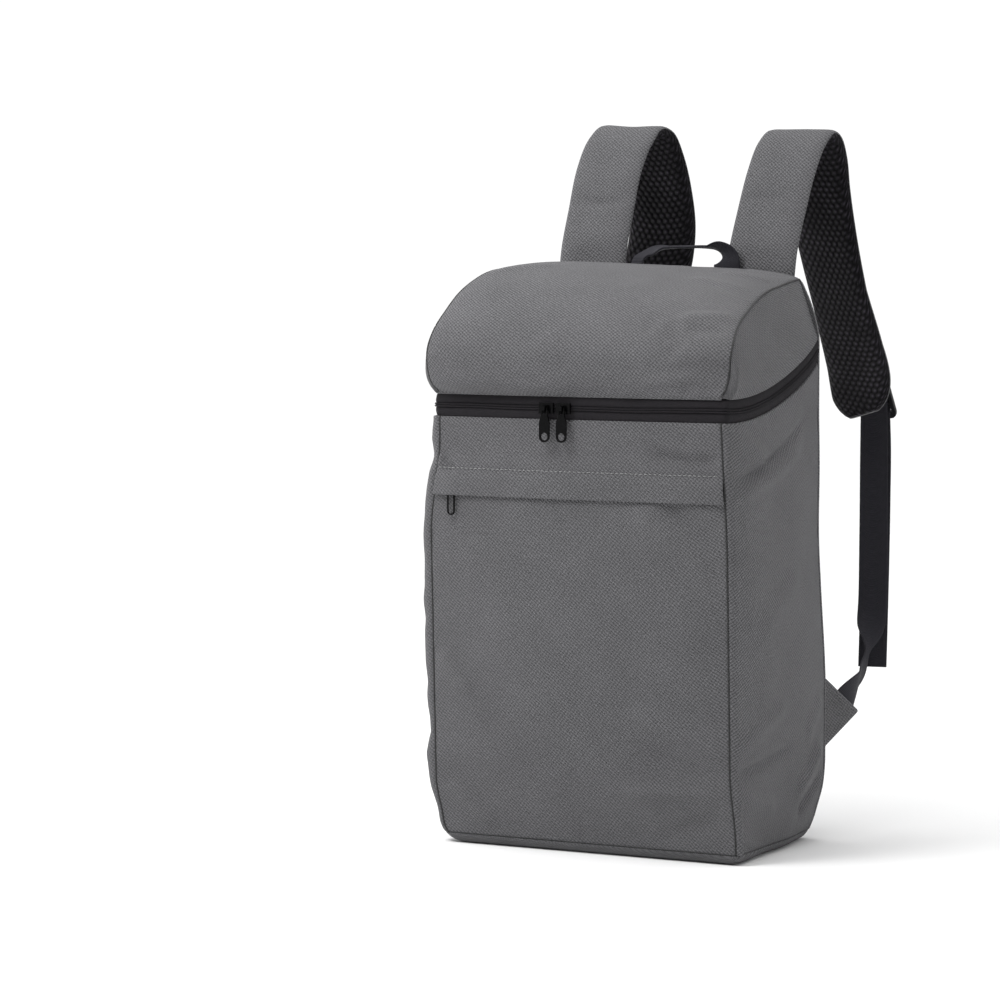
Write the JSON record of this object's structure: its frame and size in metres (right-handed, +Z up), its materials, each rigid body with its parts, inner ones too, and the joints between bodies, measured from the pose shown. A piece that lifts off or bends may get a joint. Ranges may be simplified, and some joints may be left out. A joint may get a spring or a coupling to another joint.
{
  "type": "cooler backpack",
  "caption": "Tall soft cooler backpack with a wrap-round zipped lid, a flap-covered front pocket, padded shoulder straps and a carry handle.",
  "frame": {"origin": "middle of the base, on the surface the bag stands on", "axes": "+Z up, the front with the pocket faces -Y, and +X is to the right when the front is looked at"},
  "size_m": [0.3378, 0.3136, 0.6074],
  "materials": {
    "grey_fabric": "matt woven polyester",
    "zip_cloth": "matt woven tape",
    "black_webbing": "ribbed webbing",
    "black_mesh": "air mesh",
    "black_plastic": "satin",
    "black_metal": "semi-gloss"
  },
  "bodies": {
    "bag": {"base_panel": "grey_fabric", "side_panel_left": "grey_fabric", "side_panel_right": "grey_fabric", "front_wall": "grey_fabric", "pocket_panel": "grey_fabric", "front_upper_panel": "grey_fabric", "pocket_zip": "zip_cloth", "pocket_slider": "black_metal", "pocket_pull": "black_metal", "lid_panel": "grey_fabric", "lid_side_left": "grey_fabric", "lid_side_right": "grey_fabric", "back_panel": "grey_fabric", "main_zip_lower_tape": "zip_cloth", "main_zip_upper_tape": "zip_cloth", "main_zip_coil": "black_plastic", "main_left_slider": "black_metal", "main_right_slider": "black_metal", "strap_left": "grey_fabric", "strap_right": "grey_fabric", "strap_pad_left": "black_mesh", "strap_pad_right": "black_mesh", "buckle_left": "black_plastic", "buckle_right": "black_plastic", "buckle_loop_left": "black_webbing", "buckle_loop_right": "black_webbing", "webbing_left": "black_webbing", "webbing_right": "black_webbing", "tab_left": "grey_fabric", "tab_right": "grey_fabric", "carry_handle": "black_webbing"},
    "main_left_pull": {"main_left_pull": "black_metal"},
    "main_right_pull": {"main_right_pull": "black_metal"}
  },
  "joints": [
    {"name": "main_left_pull_hinge", "type": "hinge", "parent": "bag", "child": "main_left_pull", "pos_m": [-0.0245, -0.11069, 0.37], "axis": [-1, 0, 0], "range_deg": [0, 150]},
    {"name": "main_right_pull_hinge", "type": "hinge", "parent": "bag", "child": "main_right_pull", "pos_m": [-0.0087, -0.11087, 0.37], "axis": [-1, 0, 0], "range_deg": [0, 150]}
  ]
}
